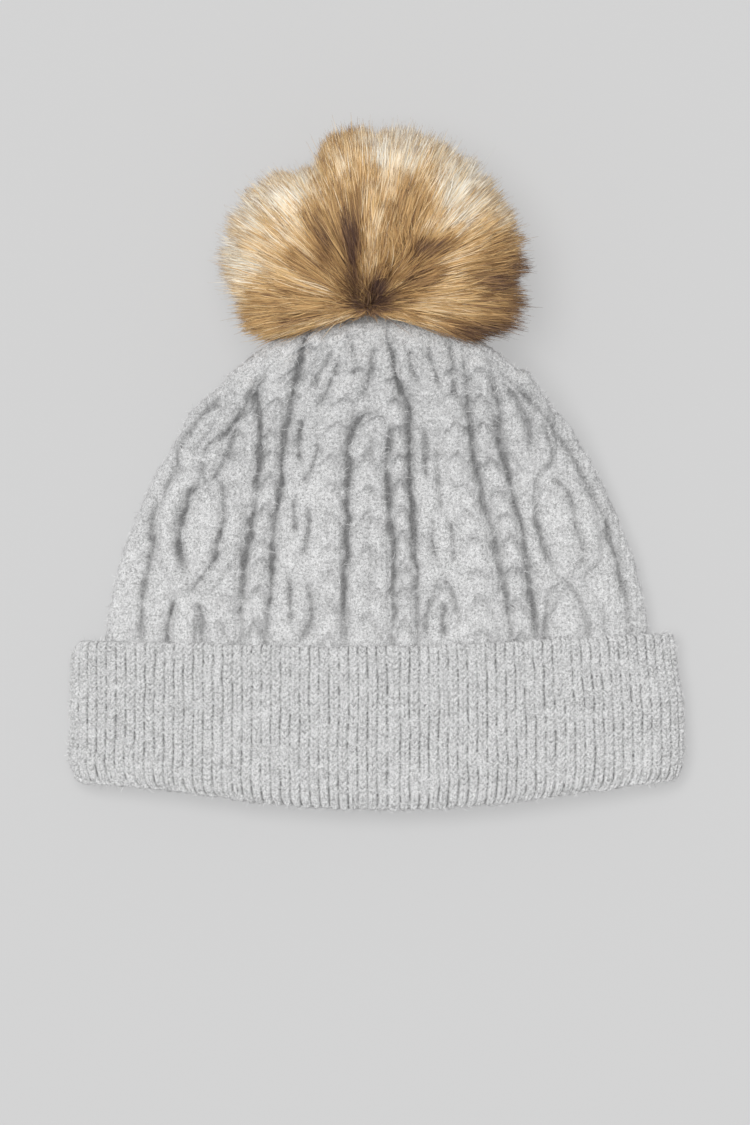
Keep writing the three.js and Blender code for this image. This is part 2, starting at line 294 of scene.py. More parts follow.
# the knit's grooves: depth, half width, then places (x, y) from the top down
GROOVES = [
    # long grooves between the columns, from left to right
    (1.9, 1.0, [(-44, 38), (-47, 27), (-45.7, 12), (-46.9, -4), (-48.7, -19), (-51.8, -36),
                (-54.5, EDGE)]),
    (1.7, 1.0, [(-25, 58), (-28, 50), (-34, 25), (-36.6, 5), (-37.4, -5), (-40, -24), (-41.6, -42),
                (-44, EDGE)]),
    (2.3, 0.9, [(0.4, 21.5), (-5, 20.5), (-9, 16), (-11, 8), (-11.4, -7), (-11.9, -31), (-13, -44),
                (-12.5, EDGE)]),
    (1.9, 0.9, [(5.4, 16), (4.4, 8), (4, -1), (5, -19), (6.4, -38), (6, EDGE)]),
    (2.4, 0.95, [(3.6, 57), (5, 47), (7.2, 34), (11.6, 24), (13, 14), (12.6, 5), (13.4, -10),
                (15.4, -31), (16.3, EDGE)]),
    (1.55, 1.1, [(34, 46), (35.3, 28), (36.6, 13), (39.7, -4), (44, -19), (47.2, -36), (51.5, -56),
                (52.6, EDGE)]),
    (1.65, 1.1, [(44, 40), (47.6, 27), (47.8, 14), (50.1, 3), (55, -14), (58.7, -36), (61.4, -56),
                (62, EDGE)]),
    # short ones near the tip
    (1.2, 1.0, [(-0.6, 47), (-2.4, 40), (-2.8, 34), (-5.5, 26)]),
    (0.7, 0.9, [(-1.6, 15), (-2.2, 9), (-2, 3)]),
    (0.45, 0.9, [(-2.2, 0), (-3.2, -18), (-2.8, -34), (-3.4, -56)]),
    (1.7, 0.8, [(12.6, 46), (13.6, 39), (15.4, 31)]), (1.8, 0.9, [(20.4, 47), (22, 39), (24, 31)]),
    (0.9, 1.0, [(-12, 54), (-9, 44), (-8.6, 34)]), (1.1, 1.0, [(28, 50), (30, 38), (30, 26)]),
    # the narrow cable at the left
    (1.6, 0.8, [(-17.4, 45), (-20.6, 38), (-25.8, 30)]),
    (1.4, 0.8, [(-14, 41), (-17.6, 33), (-23.4, 22)]),
    (1.6, 0.75, [(-29.6, 18), (-30.6, 10), (-30.2, 1)]),
    (1.1, 0.9, [(-23.6, 11), (-24, 5), (-26, -2), (-29, -7)]),
    (1.2, 0.8, [(-31.6, -10), (-32.4, -18), (-32, -26)]),
    (1.2, 0.8, [(-26.4, -13), (-26.6, -21), (-28, -29), (-30, -35)]),
    (1.5, 0.8, [(-33.6, -42), (-34.4, -51), (-33.8, -60)]),
    (1.3, 0.9, [(-26.6, -45), (-25.6, -53), (-27, -60), (-31, -66)]),
    # the narrow cable at the right
    (1.4, 0.8, [(18.6, 14), (18.8, 6), (19.4, -5)]),
    (1.0, 0.9, [(22.6, 10), (24, 0), (24, -9), (26, -17)]),
    (1.4, 0.8, [(22.6, -18), (22, -27), (23.4, -37)]), (1.1, 0.9, [(27.6, -19), (30, -29), (29.4, -38)]),
    (1.1, 1.0, [(26, -43), (22.4, -50), (19.6, -58), (19.6, -66)]),
    (1.1, 1.0, [(26, -43), (30.6, -51), (33, -60)]), (1.3, 0.8, [(26.2, -51), (26, -57), (26.2, -64)]),
    # the wide cable at the left: an oval, and the parts of two more above and below it
    (1.9, 1.0, [(-70, -6), (-74.4, -11), (-76.6, -22), (-78, -32), (-75.6, -40)]),
    (1.7, 1.0, [(-62, -3), (-60.4, -9), (-61.4, -24), (-64, -35), (-69.6, -43), (-74.6, -48)]),
    (1.6, 1.0, [(-46.6, 36), (-51, 25), (-58, 16), (-65, 10), (-68, 4)]),
    (1.4, 1.0, [(-55, 18), (-57, 9), (-60.6, 2), (-66, -5)]),
    (1.3, 1.0, [(-68.6, 4), (-69, -1), (-65.6, -6)]),
    (1.2, 1.1, [(-57, 31), (-67, 21), (-76, 9), (-81, -2), (-85, -14)]),
    (1.6, 0.9, [(-80, -50), (-82.4, -58), (-82.4, EDGE)]),
    (1.7, 0.9, [(-70.6, -51), (-69.2, -58), (-68.4, EDGE)]),
    (1.4, 1.2, [(-87.6, -10), (-89.6, -22), (-89, -32), (-92, -48), (-93, EDGE)]),
    # the wide cable at the right
    (1.3, 1.0, [(50, 34), (55, 26), (59.4, 18), (60.8, 5)]),
    (1.1, 1.0, [(63, 22), (67.6, 12), (69, 4), (64, -2)]),
    (1.2, 1.0, [(64, -2), (61.4, -9), (62.6, -18), (66, -31), (70, -40)]),
    (1.2, 1.0, [(66, -3), (73, -7), (76.4, -13), (78.6, -24), (80.4, -34), (75, -42)]),
    (1.0, 1.0, [(75, -42), (68, -50), (66.4, -58), (66, EDGE)]),
    (1.0, 1.0, [(71, -43), (78, -50), (82, -58), (83, EDGE)]),
    (1.3, 1.2, [(44, 44), (55, 31), (66, 20), (74, 9), (80, 0), (88, -14), (94, -33), (99, -54),
                (101, EDGE)])]
# the columns: centre line from the top down, half width, how far they stand out, pitch of their twist
COLUMNS = [
    ([(-24, 50), (-40, 24), (-41.5, 0), (-44.5, -24), (-49, EDGE)], 5.2, 0.8, 10.5),
    ([(-6, 40), (-17, 12), (-18, -24), (-19, EDGE)], 5.4, 0.5, 11.5),
    ([(1, 20), (-3.6, 8), (-3.4, -24), (-3.4, EDGE)], 7.6, 0.5, 12.0),
    ([(6, 34), (8.6, 8), (9.8, -24), (11, EDGE)], 4.2, 0.9, 10.5),
    ([(30, 40), (31, 12), (35, -14), (39, -36), (43, EDGE)], 6.0, 0.6, 11.5),
    ([(40, 38), (42, 14), (49.6, -14), (53.4, -36), (57, EDGE)], 5.2, 0.9, 11.5),
    ([(-54, 30), (-56, 6), (-56, -20), (-58, -42), (-62, EDGE)], 4.6, 0.4, 11.0)]
# strands of the wide cables, which stand out most
STRANDS = [
    [(-62, 26), (-72, 14), (-74, 3), (-64, -5), (-57, -14), (-57, -28), (-63, -40), (-74, -50),
     (-76, EDGE)],
    [(-50, 30), (-57, 20), (-64, 6), (-74, -5), (-81, -16), (-82, -32), (-76, -46), (-66, -55),
     (-64, EDGE)],
    [(56, 34), (64, 20), (66, 6), (61, -6), (58, -18), (62, -34), (73, -44), (84, -56), (86, EDGE)],
    [(52, 20), (56, 8), (65, -2), (78, -10), (83, -24), (82, -36), (71, -46), (62, -58), (61, EDGE)]]


RELIEF = 1.8  # mm of relief at full height of the pattern
CUT = 1.25  # and of depth for each unit of a groove
FULL_SHADE_CUT = 1.7  # a groove this deep gets the full painted shade


def knit_height(x, y):
    """Relief of the crown's cable pattern, in mm, and how much painted shade each place gets, 0 to 1: the
    more the deeper it lies in a groove, and some where a column twists.
    """
    relief = np.zeros(x.shape)
    twist_shade = np.zeros(x.shape)
    place = np.stack([x, y, 0 * x], axis=1)
    slip = 0.3 * noise(place, 13.0, 14)
    for path, half, height, pitch in COLUMNS:
        gap, _ = stroke_distance(x, y, smooth_path(path))
        inside = np.clip(1 - np.abs(gap / half) ** 2.5, 0, 1)
        turn = (y + 0.9 * gap) / pitch + slip
        twist = np.exp(-(((turn - np.floor(turn) - 0.5) * pitch / 1.7) ** 2))
        marked = min(1, height / 0.85)
        relief = np.maximum(relief, (0.6 + height - (0.42 + 0.92 * marked) * twist) * inside)
        # painted shade in the dip at each twist of a column
        twist_shade = np.maximum(twist_shade, 0.36 * marked * twist * inside)
    for path in STRANDS:
        gap, _ = stroke_distance(x, y, smooth_path(path))
        relief = np.maximum(relief, 1.9 * np.clip(1 - np.abs(gap / 5.2) ** 2.3, 0, 1))
    cut = np.zeros(x.shape)
    uneven = 0.93 + 0.20 * noise(place, 4.5, 7) + 0.20 * noise(place, 1.7, 8)
    wobble = 0.65 * noise(place, 3.4, 15) + 0.22 * noise(place, 1.5, 16)
    for depth, half, path in GROOVES:
        gap, where = stroke_distance(x, y, smooth_path(path))
        gap = gap + wobble
        ends = np.minimum(1, 5 * np.minimum(where + 0.05, 1.05 - where))
        breadth = half * (0.92 + 0.26 * noise(place, 5.0, 9))
        profile = 0.58 * np.exp(-((gap / breadth) ** 2)) + 0.42 * np.exp(-((gap / (3.0 * breadth)) ** 2))
        cut = np.maximum(cut, depth * ends * profile)
    cut *= uneven
    # the second value is painted shade: the wool's colour is darkened by it
    return RELIEF * relief - CUT * cut, np.clip(cut / FULL_SHADE_CUT + twist_shade, 0, 1)


def stitches(x, y, wale, course):
    """The small V of each stitch, flattened by felting."""
    u = x / wale
    u = u - np.floor(u) - 0.5
    slope = y / course + 1.3 * np.abs(u)
    column = np.cos(2 * math.pi * u)
    return np.cos(2 * math.pi * slope) * (0.5 + 0.5 * column) + 0.5 * column


def felt(points, strength=1.0):
    """Uneven, matted surface of brushed wool."""
    lumps = 0.34 * noise(points, 6.3, 10) + 0.24 * noise(points, 3.1, 11)
    return strength * (lumps + 0.13 * noise(points, 1.4, 12) + 0.10 * noise(points, 0.75, 13))


# ---- materials ----

def grey(value):
    return (value, value, value)


def new_material(name):
    """A new material's node tree and its shader."""
    material = bpy.data.materials.new(name)
    material.use_nodes = True
    tree = material.node_tree
    return material, tree, tree.nodes["Principled BSDF"]


def add_node(tree, kind, **settings):
    node = tree.nodes.new("ShaderNode" + kind)
    for key, value in settings.items():
        if key in node.inputs:
            node.inputs[key].default_value = value
        else:
            setattr(node, key, value)
    return node


def join(tree, source, output, target, socket):
    tree.links.new(source.outputs[output], target.inputs[socket])


def set_sockets(shader, roughness, specular=None, **others):
    shader.inputs["Roughness"].default_value = roughness
    if specular is not None:
        shader.inputs["Specular IOR Level"].default_value = specular
    for key, value in others.items():
        shader.inputs[key.replace("_", " ")].default_value = value


def noise_texture(tree, **settings):
    """Noise in the piece's own space."""
    node = add_node(tree, "TexNoise", **settings)
    join(tree, add_node(tree, "TexCoord"), "Object", node, "Vector")
    return node


def colour_ramp(tree, source, output, stops):
    """A colour ramp over one output of another node."""
    node = add_node(tree, "ValToRGB")
    ramp = node.color_ramp
    while len(ramp.elements) < len(stops):
        ramp.elements.new(0.5)
    for element, (place, colour) in zip(ramp.elements, stops):
        element.position = place
        element.color = (*colour, 1)
    join(tree, source, output, node, "Fac")
    return node


def multiplied(tree, first, second):
    """The output of two colour outputs multiplied."""
    node = add_node(tree, "Mix", data_type="RGBA", blend_type="MULTIPLY", Factor=1.0)
    tree.links.new(first, node.inputs["A"])
    tree.links.new(second, node.inputs["B"])
    return node.outputs["Result"]


def bumped(tree, shader, height, strength, distance):
    bump = add_node(tree, "Bump", Strength=strength, Distance=distance)
    tree.links.new(height, bump.inputs["Height"])
    join(tree, bump, "Normal", shader, "Normal")


def wool_material(name, dark, groove_shade, cloud):
    """Melange wool: fine light and dark fibre flecks over soft mottling, with painted shade in the
    grooves.
    """
    material, tree, shader = new_material(name)
    flecks = noise_texture(tree, Scale=1950.0, Detail=3.0, Roughness=0.75)
    clouds = noise_texture(tree, Scale=230.0, Detail=4.0, Roughness=0.6)
    heather = noise_texture(tree, Scale=1050.0, Detail=1.0)
    colour = colour_ramp(tree, flecks, "Fac", [(0.38, grey(dark)), (0.60, grey(1.0))]).outputs["Color"]
    for source, low, deep, high in ((clouds, 0.32, cloud, 0.62), (heather, 0.30, 0.62, 0.54)):
        ramp = colour_ramp(tree, source, "Fac", [(low, grey(deep)), (high, grey(1.0))])
        colour = multiplied(tree, colour, ramp.outputs["Color"])
    # painted shade: the colour is darkened towards groove_shade where the mesh's groove attribute is high
    shade = add_node(tree, "Mix", data_type="RGBA", blend_type="MULTIPLY")
    join(tree, add_node(tree, "Attribute", attribute_name="groove"), "Fac", shade, "Factor")
    tree.links.new(colour, shade.inputs["A"])
    shade.inputs["B"].default_value = (*grey(groove_shade), 1)
    join(tree, shade, "Result", shader, "Base Color")
    set_sockets(shader, 0.95, 0.15, Sheen_Weight=0.25, Sheen_Roughness=0.5)
    bumped(tree, shader, flecks.outputs["Fac"], 1.0, 0.0005)
    return material


def strand_uv(tree):
    """A node that splits a strand's uv: X is its shade, Y its place from root to tip."""
    split = add_node(tree, "SeparateXYZ")
    join(tree, add_node(tree, "UVMap", uv_map="OFBake"), "UV", split, "Vector")
    return split


def fibre_material(name, dark, light):
    """Loose fibres, each of one shade: the uv's u runs from dark to light."""
    material, tree, shader = new_material(name)
    stops = [(0.0, grey(dark)), (0.45, grey(mix(dark, light, 0.6))), (1.0, grey(light))]
    join(tree, colour_ramp(tree, strand_uv(tree), "X", stops), "Color", shader, "Base Color")
    set_sockets(shader, 0.8, 0.2)
    return material


# the second shade given to each is the painted shade of its grooves
CROWN_WOOL = wool_material("crown_wool", 0.55, 0.32, 0.85)
WOOL_FIBRE = fibre_material("wool_fibre", 0.30, 1.0)
RIB_WOOL = wool_material("rib_wool", 0.60, 0.30, 0.95)


# ---- strands ----

def curve_points(start, bend, end, steps):
    """Points of many quadratic curves at once: strands x (steps + 1) x 3."""
    t = np.linspace(0, 1, steps + 1)[None, :, None]
    return (1 - t) ** 2 * start[:, None] + 2 * t * (1 - t) * bend[:, None] + t * t * end[:, None]


def add_ribbons(name, lines, outward, widths, tilt, shade, *owner):
    """Strands as thin tapering ribbons that face outward, tilted at random.

    The uv holds each strand's shade across and its place from root to tip upwards. The owner is
    the material, body, node and slot; the slot is not used.
    """
    strands, steps = lines.shape[0], lines.shape[1] - 1
    along = unit(np.gradient(lines, axis=1))
    side = unit(np.cross(along, outward[:, None]))
    lift = np.cross(side, along)
    side = side * np.cos(tilt)[:, None, None] + lift * np.sin(tilt)[:, None, None]
    t = np.linspace(0, 1, steps + 1)
    taper = 1 - 0.8 * np.clip((t - 0.6) / 0.4, 0, 1) ** 1.5
    offset = side * (widths[:, None] * 0.5 * taper[None, :])[:, :, None]
    points = np.stack([lines - offset, lines + offset], axis=2).reshape(-1, 3)
    first = (np.arange(strands)[:, None] * (steps + 1) * 2 + np.arange(steps) * 2).ravel()
    faces = np.stack([first, first + 1, first + 3, first + 2], axis=1)
    shade = np.broadcast_to(shade.reshape(strands, -1), (strands, steps + 1))
    u = np.repeat(shade.ravel(), 2)
    v = np.tile(np.repeat(t, 2), strands)
    add_piece(name, points, faces, *owner, uv=np.stack([u, v * 0.98 + 0.01], axis=1))


FUZZ_COUNT = 32000
FUZZ_SHARE_ABOVE = 0.68


def build_fuzz(name, points, normals, depth, seed, node, slot):
    """Loose fibres that lie about on brushed wool, more of them on the upper side."""
    rng = np.random.default_rng(seed)
    count = FUZZ_COUNT
    open_part = depth < rng.uniform(0.05, 0.6, len(depth))
    above = np.flatnonzero(open_part & (normals[:, 2] > -0.05))
    below = np.flatnonzero(open_part & (normals[:, 2] <= -0.05))
    upper = int(count * FUZZ_SHARE_ABOVE)
    chosen = np.concatenate([rng.choice(above, upper), rng.choice(below, count - upper)])
    start, out = points[chosen], normals[chosen]
    start = start + rng.normal(size=start.shape) * 0.3 - out * 0.15
    loose = rng.uniform(0, 1, count) ** 2
    heading = rng.normal(size=start.shape)
    heading = unit(heading - out * np.sum(heading * out, axis=1, keepdims=True))
    turn = np.cross(out, heading) * rng.normal(size=count)[:, None] * 0.5
    length = rng.uniform(1.2, 3.4, count)[:, None]
    rise = (0.10 + 0.42 * loose)[:, None] * length
    bend = start + heading * length * 0.5 + out * rise * 0.9
    end = start + (heading + turn) * length * 0.9 + out * rise * rng.uniform(0.2, 1.2, count)[:, None]
    lines = curve_points(start, bend, end, 3)
    lines[:, :, 2] = np.maximum(lines[:, :, 2], 0.3)
    add_ribbons(name, lines, out, rng.uniform(0.08, 0.15, count), rng.normal(size=count) * 0.5,
                rng.uniform(0.02, 0.98, count), WOOL_FIBRE, "hat", node, slot)


# ---- the knitted pieces ----

CROWN_TURN = (440, 230)  # samples round the upper side and the underside
CROWN_ROW = 0.62  # distance between rows
TIP_HOLE = 2.4  # the least half width of a row


def even_rows(low, high, step):
    """Rows of y from low to high, evenly spaced along the surface of the crown."""
    y = np.concatenate([np.linspace(low, high - 2, 400), high - 2 * (1 - np.linspace(0, 1, 60)[1:]) ** 2])
    width, height, middle = body_width(y) * 0.5, body_height(y), middle_z(y)
    length = np.cumsum(np.concatenate([[0], np.sqrt(np.diff(y) ** 2 + np.diff(width) ** 2
                                                    + np.diff(middle + height) ** 2)]))
    return np.interp(np.linspace(0, length[-1], int(length[-1] / step)), length, y)


def grid_uv(rows, columns):
    u = np.tile(np.linspace(0, 1, columns), rows)
    v = np.repeat(np.linspace(0, 1, rows), columns)
    return np.stack([u, v], axis=1)


def crown_rows(places, inset):
    """Rows of the crown at some places along Y, this far inside its surface."""
    sizes = [(body_width(y) - inset, body_height(y) - inset, y) for y in places]
    return [(max(TIP_HOLE, w), max(TIP_HOLE, h), y) for w, h, y in sizes]


def build_crown():
    """The crown: its outer surface with the cable pattern, and a plain inside."""
    q = turn_samples(*CROWN_TURN)
    outer_y = even_rows(RIB_TOP_Y + 0.4, TIP_Y - 0.1, CROWN_ROW)
    grid = tube_grid(crown_rows(outer_y, 0), q)
    normal = grid_normals(grid).reshape(-1, 3)
    flat = grid.reshape(-1, 3)
    x, r = flat[:, 0], np.repeat(outer_y, len(q))
    place = np.stack([x, r, 0 * r], axis=1)
    wander_x, wander_y = 0.7 * noise(place, 7, 5), 0.7 * noise(place, 7, 6)
    # groove is painted shade, 0 to 1, in the grooves and at the twists; the fuzz also stays out of the
    # grooves by it
    relief, groove = knit_height(x + wander_x, r + wander_y)
    fine = 0.26 * stitches(x, r, 2.3, 1.9) + felt(flat, 2.0)
    near_tip = 1 - smooth(r, TIP_Y - 4, TIP_Y - 1)
    height = (relief - 0.9) * near_tip + fine * (0.3 + 0.7 * near_tip)
    # grooves stay clear of the crown's inside, which is nearer where the dome slopes
    room = np.maximum(CROWN_THICK * np.sqrt(1 - normal[:, 1] ** 2) - 1.2, 0.8)
    height = np.maximum(height, -room + 0.25 * fine)
    outer = flat + normal * height[:, None]
    outer[:, 2] = np.maximum(outer[:, 2], TABLE_GAP)
    inner_y = np.linspace(RIB_TOP_Y + 0.4, TIP_Y - CROWN_THICK, 60)[::-1]
    inner_rows = [(TIP_HOLE, TIP_HOLE, TIP_Y - CROWN_THICK)] + crown_rows(inner_y, CROWN_THICK)
    inner = tube_grid(inner_rows, q).reshape(-1, 3)
    total = len(outer_y) + len(inner_rows)
    faces = grid_faces(total, len(q), wrap_rows=True, wrap_columns=True)
    # the groove attribute takes this painted shade to the crown's material
    depth = np.concatenate([groove, np.zeros(len(inner))])
    add_piece("crown_knit", np.concatenate([outer, inner]), faces, CROWN_WOOL, "hat", "crown",
              "cable_knit", grid_uv(total, len(q)), {"groove": depth})
    build_fuzz("crown_fuzz", outer, normal, groove, 41, "crown", "cable_knit")


RIBS_AROUND = 130
COURSE = 2.05  # height of a row of stitches
SEAM_Q = 0.046  # the seam's place on the turn coordinate, and half its plain column's width
SEAM_REACH = 0.022
UNDER_Q = 1.6  # the ribs that the seam holds back catch up from here, on the underside
CUFF_TURN = (960, 260)
CUFF_ROWS = 150  # rows of its outer layer
RETURN_ROWS = 12  # rows of each half of its hidden return
LEFT_EXTRA = 1.3  # the cuff is this much wider than a flat tube at its left,
RIGHT_EXTRA = 1.3  # and at its right along the fold,
RIGHT_TUCK = 1.8  # and this much narrower at its right along the free edge


def rib_relief(q, r, inner):
    """Ridges of one-by-one rib, made of small V stitches, and the painted shade of the valleys between
    them, of the gaps between stitches and of the creases, 0 to 1.
    """
    side = np.where(q > 2, q - 4, q)
    place = np.stack([side * 60, r, 0 * r], axis=1)
    held_back = 0.4 * smooth(side, SEAM_Q - SEAM_REACH, SEAM_Q + SEAM_REACH)
    held_back *= 1 - smooth(side, UNDER_Q, UNDER_Q + 0.3)
    phase = side * RIBS_AROUND / AROUND - held_back + 0.10 * noise(place, 6, 21)
    phase += 0.5 * inner
    frac = phase - np.floor(phase)
    off_middle = np.abs(frac - 0.5)
    ridge = np.clip(1 - (2 * off_middle) ** 2.6, 0, 1)
    ridge = ridge * (1 + 0.16 * noise(place * (1, 0.6, 1), 2.2, 22))
    crease = np.exp(-((off_middle / 0.075) ** 2))
    row = r / COURSE + 0.18 * noise(place, 5, 24)
    loops = np.cos(2 * math.pi * (row - 1.5 * off_middle))
    bridge = 0.25 * np.cos(2 * math.pi * (row + 0.25)) * (1 - ridge)
    gaps = np.clip(-loops - 0.2, 0, 1) * ridge
    stretched = place * (1, 0.7, 1)
    broken = 0.86 + 0.9 * noise(stretched, 1.9, 23) - 0.35 * np.cos(2 * math.pi * row)
    # painted shade: in the valleys, the gaps between the stitches and the creases
    valley_shade = np.clip(1 - ridge * 1.6, 0, 1) * np.clip(broken, 0, 1.4)
    valley_shade += 0.7 * gaps * (0.6 + 0.6 * noise(place, 2.4, 25))
    valley_shade += 0.26 * crease * np.clip(0.8 + 1.0 * noise(stretched, 2.3, 26), 0, 1.4)
    return 1.3 * ridge + 0.42 * loops * ridge - 0.30 * crease + bridge - 1.0, np.clip(valley_shade, 0, 1)


def build_cuff():
    """The rib strip: its free edge, outer layer, fold, inner layer, and its hidden return inside."""
    q = turn_samples(*CUFF_TURN)
    rows = []
    kinds = []

    def add(width, height, y, inner):
        rows.append((width, height, y))
        kinds.append(inner)

    hem = RIB_THICK / 2
    for deg in np.linspace(180, 0, 7)[1:-1]:
        depth = hem * (1 - math.cos(math.radians(deg)))
        y = CUFF_TOP_Y - 1.2 + hem * math.sin(math.radians(deg))
        add(cuff_width(y) - depth, CUFF_HALF_HEIGHT - depth, y, False)
    for y in np.linspace(CUFF_TOP_Y - 1.4, FOLD_Y + 5, CUFF_ROWS):
        add(cuff_width(y), CUFF_HALF_HEIGHT, y, False)
    fold = (UNDER_CUFF + RIB_THICK) / 2
    for deg in np.linspace(0, 180, 16)[1:-1]:
        depth = fold * (1 - math.cos(math.radians(deg)))
        y = FOLD_Y + 4.4 - 4.2 * math.sin(math.radians(deg))
        add(cuff_width(y) - depth, CUFF_HALF_HEIGHT - depth, y, deg > 110)
    for y in np.linspace(FOLD_Y + 5, RIB_TOP_Y - 0.5, 44):
        add(body_width(y) - RIB_THICK, body_height(y) - RIB_THICK, y, True)
    for y in np.linspace(RIB_TOP_Y - 0.5, FOLD_Y + 6, RETURN_ROWS):
        add(body_width(y), body_height(y), y, False)
    for y in np.linspace(FOLD_Y + 6, CUFF_TOP_Y - 1.4, RETURN_ROWS):
        add(cuff_width(y) - RIB_THICK, CUFF_HALF_HEIGHT - RIB_THICK, y, True)
    row_y = np.array([y for _, _, y in rows])
    grid = tube_grid(rows, q)
    reach = grid[:, :, 0] / CUFF_HALF_WIDTH
    near_top = smooth(row_y, CUFF_TOP_Y - 32, CUFF_TOP_Y)[:, None]
    right_extra = mix(RIGHT_EXTRA, -RIGHT_TUCK, near_top)
    grid[:, :, 0] += right_extra * np.clip(reach, 0, 1) ** 2 - LEFT_EXTRA * np.clip(-reach, 0, 1) ** 2
    grid[:, :, 1] -= corner_lift(grid[:, :, 0], TOP_CORNER) * near_top ** 3
    normal = grid_normals(np.concatenate([grid[-1:], grid, grid[:1]]))[1:-1].reshape(-1, 3)
    flat = grid.reshape(-1, 3)
    inner = np.repeat(kinds, len(q))
    relief, valley_shade = rib_relief(np.tile(q, len(rows)), np.repeat(row_y, len(q)), inner)
    hidden = np.repeat(np.arange(len(rows)) >= len(rows) - 2 * RETURN_ROWS, len(q))
    height = np.where(hidden, -0.15, relief + felt(flat, 1.2))
    points = flat - normal * height[:, None]
    points[:, 2] = np.maximum(points[:, 2], TABLE_GAP)
    faces = grid_faces(len(rows), len(q), wrap_rows=True, wrap_columns=True)[:, ::-1]
    # the groove attribute takes the valleys' painted shade to the rib's material
    add_piece("rib_cuff_knit", points, faces, RIB_WOOL, "hat", "rib_cuff", "rib_knit",
              grid_uv(len(rows), len(q)), {"groove": valley_shade})
    shown = ~hidden & ~inner
    build_fuzz("cuff_fuzz", points[shown], -normal[shown], valley_shade[shown], 42, "rib_cuff", "rib_knit")


# ---- the fur pom ----

POM_CENTRE = np.array([0, 90, AXIS_Z])
POM_HALF_HEIGHT = (pile_high[2] - pile_low[2]) / 2
# the outline seen from above, as (x, y), round from the left
POM_OUTLINE = [
    (-61, 84), (-58, 98), (-50, 111), (-42, 115), (-30, 116), (-25, 118), (-21, 129), (-16, 132),
    (-8, 133), (3, 132), (14, 133), (25, 128), (35, 122), (45, 112), (51, 103), (56, 95), (59, 82),
    (58, 70), (56, 58), (47, 53), (34, 49), (24, 50), (10, 55), (-9, 57), (-30, 53), (-42, 50),
    (-51, 53), (-55, 60), (-61, 71)]
WHORL = np.array([-3.0, 63.0])  # the strands fan out from here
SIDE_WHORL = np.array([13.0, 77.0])  # and those at the right from here,
SIDE_ANGLE = 0.25  # round this angle, in radians from +X,
SIDE_SPREAD = 0.55  # and less and less beyond this much of it
POM_FULLNESS = 0.86  # exponent of its section: under 1 is fuller than a ball
HOLLOW_Y = 66  # the deepest place of the hollow that the crown's tip goes into


def outline_radius(angle):
    rim = np.array(POM_OUTLINE) - POM_CENTRE[:2]
    at = np.arctan2(rim[:, 1], rim[:, 0])
    order = np.argsort(at)
    return np.interp(angle, at[order], np.hypot(rim[:, 0], rim[:, 1])[order], period=2 * math.pi)


def pom_place(direction, share=1.0):
    """The place at a share of the way from the pom's middle to its surface in some directions."""
    level = np.hypot(direction[:, 0], direction[:, 1])
    radius = outline_radius(np.arctan2(direction[:, 1], direction[:, 0]))
    spread = level ** POM_FULLNESS
    place = np.empty_like(direction)
    place[:, :2] = direction[:, :2] / np.maximum(level, 1e-6)[:, None] * (radius * spread * share)[:, None]
    place[:, 2] = POM_HALF_HEIGHT * np.sign(direction[:, 2]) * np.abs(direction[:, 2]) ** 0.92 * share
    place += POM_CENTRE
    # the hollow is round, so that the pom can turn on the crown's tip
    off_axis = np.hypot(place[:, 0], place[:, 2] - AXIS_Z)
    dish = HOLLOW_Y - 0.0088 * off_axis ** 2 - 2 * smooth(off_axis, 9, 17)
    place[:, 1] = np.maximum(place[:, 1], dish + 4 * (1 - share))
    place[:, 2] = np.maximum(place[:, 2], 0.6)
    return place


def pom_strands(rng, count, reach, length):
    """Start, bend and end of strands whose tips lie at about the given share of the way out."""
    direction = unit(rng.normal(size=(count, 3)))
    share = reach + rng.normal(size=count) * 0.018
    tip = pom_place(direction, share)
    # strands fall over the rim from above, except those that start on the underside
    side = np.where(direction[:, 2] > -0.5 + 0.22 * rng.normal(size=count), 1, -1)
    angle = np.arctan2(direction[:, 1], direction[:, 0])
    to_side = np.exp(-((angle - SIDE_ANGLE) / SIDE_SPREAD) ** 2)
    whorl = WHORL + (SIDE_WHORL - WHORL) * to_side[:, None]
    flat = tip[:, :2] - whorl
    distance = np.maximum(np.linalg.norm(flat, axis=1), 1e-6)
    back = np.minimum(length / distance, 0.94)

    def earlier(part, depth):
        """A place part of the way back to the whorl, on the same side of the pom, deeper inside."""
        xy = tip[:, :2] - flat * part[:, None] - POM_CENTRE[:2]
        at = np.arctan2(xy[:, 1], xy[:, 0])
        level = np.clip(np.hypot(xy[:, 0], xy[:, 1]) / (outline_radius(at) * share), 0, 1)
        level = level ** (1 / POM_FULLNESS)
        up = side * np.sqrt(1 - np.minimum(level, 0.9999) ** 2)
        aim = np.stack([np.cos(at) * level, np.sin(at) * level, up], axis=1)
        place = pom_place(aim, share)
        place[:, 2] = AXIS_Z + (place[:, 2] - AXIS_Z) * depth
        return place

    bend = earlier(back * 0.45, 0.96)
    start = earlier(back, 0.74)
    return start, bend, tip, direction


